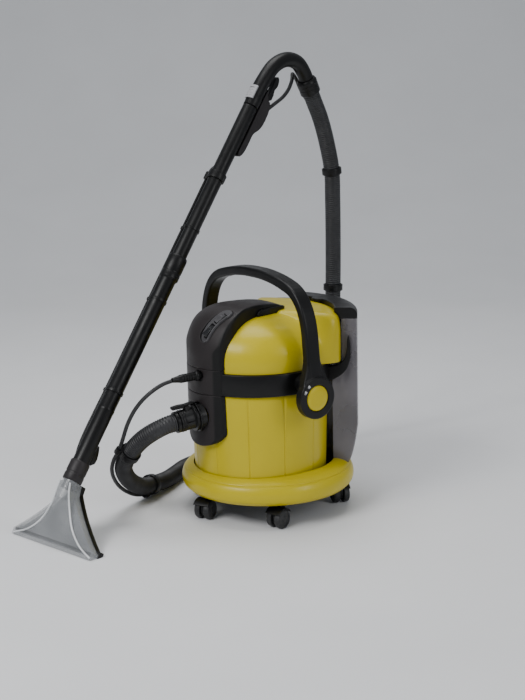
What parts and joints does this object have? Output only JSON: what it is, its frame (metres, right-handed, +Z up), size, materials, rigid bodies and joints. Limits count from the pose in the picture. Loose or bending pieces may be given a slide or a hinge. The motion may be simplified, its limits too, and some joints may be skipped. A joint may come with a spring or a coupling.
{
  "type": "spray-extraction carpet cleaner",
  "caption": "Upright drum carpet cleaner on casters with a domed head, swinging carry handle, rear clean-water tank, hose, bent wand and wide floor nozzle.",
  "frame": {"origin": "on the floor, under the middle of the whole outline, wand and hose included", "axes": "+Z up; -Y is the front, where the hose leaves the machine and the nozzle lies; the carrying handle turns about X; the clean-water tank is at +Y"},
  "size_m": [0.501, 0.8778, 0.9042],
  "materials": {
    "yellow_shell": "semi-gloss moulded plastic",
    "black_plastic": "satin moulded plastic",
    "spine_plastic": "fine-grained dark grey plastic",
    "switch_black": "smooth plastic",
    "switch_grey": "smooth plastic",
    "hose_rubber": "matt ribbed hose",
    "seal_rubber": "matt",
    "wheel_rubber": "matt",
    "smoke_tank": "smoky see-through plastic",
    "clear_hood": "clear see-through plastic",
    "grey_plastic": "satin",
    "pale_grey": "satin",
    "white_plastic": "satin",
    "motor_steel": "zinc-plated"
  },
  "bodies": {
    "machine": {"base_skirt": "yellow_shell", "base_pan": "black_plastic", "dirty_water_container": "yellow_shell", "container_seal": "seal_rubber", "head_frame": "black_plastic", "dome_cover": "yellow_shell", "spine_upper": "spine_plastic", "spine_lower": "spine_plastic", "switch_panel": "switch_grey", "hose_socket": "black_plastic", "hose_coupling": "black_plastic", "spray_plug": "black_plastic", "suction_hose": "hose_rubber", "spray_hose": "hose_rubber", "fan_housing": "spine_plastic", "motor": "motor_steel", "water_pump": "spine_plastic", "float_cage": "white_plastic", "cord_gland": "black_plastic", "wand_elbow": "black_plastic", "hose_cuff": "black_plastic", "wand_lower_tube": "black_plastic", "wand_upper_tube": "black_plastic", "trigger_housing": "spine_plastic", "spray_line": "black_plastic", "nozzle_neck": "spine_plastic", "wand_clip": "black_plastic", "nozzle_hood": "clear_hood", "nozzle_back": "black_plastic", "spray_jet": "black_plastic", "hose_clip_1": "black_plastic", "hose_clip_2": "black_plastic", "hose_clip_3": "black_plastic", "hose_clip_4": "black_plastic"},
    "handle": {"carry_handle": "black_plastic", "handle_cap_right": "yellow_shell", "handle_cap_left": "yellow_shell"},
    "tank": {"water_tank": "smoke_tank", "tank_valve": "seal_rubber"},
    "lid": {"tank_lid": "black_plastic"},
    "vacuum_rocker": {"vacuum_switch": "switch_black"},
    "pump_rocker": {"pump_switch": "switch_grey"},
    "trigger": {"spray_trigger": "black_plastic"},
    "slide": {"air_slide": "pale_grey"},
    "coupling_tongue": {"coupling_latch": "black_plastic"},
    "wand_tongue": {"wand_latch": "black_plastic"},
    "fan": {"fan_rotor": "grey_plastic"},
    "float": {"float_ball": "white_plastic"},
    "caster_1": {"caster_yoke_1": "black_plastic"},
    "wheels_1": {"caster_wheels_1": "wheel_rubber"},
    "caster_2": {"caster_yoke_2": "black_plastic"},
    "wheels_2": {"caster_wheels_2": "wheel_rubber"},
    "caster_3": {"caster_yoke_3": "black_plastic"},
    "wheels_3": {"caster_wheels_3": "wheel_rubber"},
    "caster_4": {"caster_yoke_4": "black_plastic"},
    "wheels_4": {"caster_wheels_4": "wheel_rubber"},
    "caster_5": {"caster_yoke_5": "black_plastic"},
    "wheels_5": {"caster_wheels_5": "wheel_rubber"}
  },
  "joints": [
    {"name": "caster_swivel_1", "type": "hinge", "parent": "machine", "child": "caster_1", "pos_m": [0.00768, -0.04511, 0.045], "axis": [0, 0, 1], "continuous": true},
    {"name": "wheel_roll_1", "type": "hinge", "parent": "caster_1", "child": "wheels_1", "pos_m": [0.0136, -0.0578, 0.019], "axis": [-0.9063, -0.4226, 0], "continuous": true},
    {"name": "caster_swivel_2", "type": "hinge", "parent": "machine", "child": "caster_2", "pos_m": [0.14621, 0.03578, 0.045], "axis": [0, 0, 1], "continuous": true},
    {"name": "wheel_roll_2", "type": "hinge", "parent": "caster_2", "child": "wheels_2", "pos_m": [0.1496, 0.0222, 0.019], "axis": [-0.9703, -0.2419, 0], "continuous": true},
    {"name": "caster_swivel_3", "type": "hinge", "parent": "machine", "child": "caster_3", "pos_m": [0.09444, 0.21699, 0.045], "axis": [0, 0, 1], "continuous": true},
    {"name": "wheel_roll_3", "type": "hinge", "parent": "caster_3", "child": "wheels_3", "pos_m": [0.1076, 0.2122, 0.019], "axis": [-0.342, -0.9397, 0], "continuous": true},
    {"name": "caster_swivel_4", "type": "hinge", "parent": "machine", "child": "caster_4", "pos_m": [-0.05924, 0.21699, 0.045], "axis": [0, 0, 1], "continuous": true},
    {"name": "wheel_roll_4", "type": "hinge", "parent": "caster_4", "child": "wheels_4", "pos_m": [-0.0724, 0.2122, 0.019], "axis": [-0.342, 0.9397, 0], "continuous": true},
    {"name": "caster_swivel_5", "type": "hinge", "parent": "machine", "child": "caster_5", "pos_m": [-0.11101, 0.03578, 0.045], "axis": [0, 0, 1], "continuous": true},
    {"name": "wheel_roll_5", "type": "hinge", "parent": "caster_5", "child": "wheels_5", "pos_m": [-0.1144, 0.0222, 0.019], "axis": [-0.9703, 0.2419, 0], "continuous": true},
    {"name": "handle_swing", "type": "hinge", "parent": "machine", "child": "handle", "pos_m": [0.0176, 0.0782, 0.264], "axis": [1, 0, 0], "range_deg": [-35, 20]},
    {"name": "tank_tilt", "type": "hinge", "parent": "machine", "child": "tank", "pos_m": [0.0176, 0.2542, 0.084], "axis": [-1, 0, 0], "range_deg": [0, 12]},
    {"name": "lid_open", "type": "hinge", "parent": "tank", "child": "lid", "pos_m": [0.0176, 0.2852, 0.389], "axis": [-1, 0, 0], "range_deg": [0, 95]},
    {"name": "vacuum_switch_rock", "type": "hinge", "parent": "machine", "child": "vacuum_rocker", "pos_m": [0.0434, -0.0535, 0.3869], "axis": [0.9703, -0.1711, -0.1711], "range_deg": [0, 8]},
    {"name": "pump_switch_rock", "type": "hinge", "parent": "machine", "child": "pump_rocker", "pos_m": [0.0511, -0.0318, 0.4091], "axis": [0.9703, -0.1711, -0.1711], "range_deg": [0, 8]},
    {"name": "trigger_press", "type": "hinge", "parent": "machine", "child": "trigger", "pos_m": [-0.1631, 0.2479, 0.8113], "axis": [0.9816, 0.1908, 0], "range_deg": [0, 4], "stiffness_Nm_per_rad": 0.4, "springref_deg": -2.86},
    {"name": "air_slide_move", "type": "slide", "parent": "machine", "child": "slide", "axis": [-0.1167, 0.6003, 0.7912], "range_m": [-0.008, 0]},
    {"name": "coupling_latch_press", "type": "hinge", "parent": "machine", "child": "coupling_tongue", "pos_m": [0.0177, -0.0987, 0.2403], "axis": [0.9848, -0.1736, 0], "range_deg": [0, 7], "stiffness_Nm_per_rad": 0.3, "springref_deg": -4.58},
    {"name": "wand_latch_press", "type": "hinge", "parent": "machine", "child": "wand_tongue", "pos_m": [-0.0648, -0.2574, 0.1665], "axis": [0.9816, 0.1908, 0], "range_deg": [0, 8], "stiffness_Nm_per_rad": 0.3, "springref_deg": -4.58},
    {"name": "fan_spin", "type": "hinge", "parent": "machine", "child": "fan", "pos_m": [0.0176, 0.0782, 0.332], "axis": [0, 0, 1], "continuous": true},
    {"name": "float_rise", "type": "slide", "parent": "machine", "child": "float", "axis": [0, 0, 1], "range_m": [0, 0.022]}
  ]
}
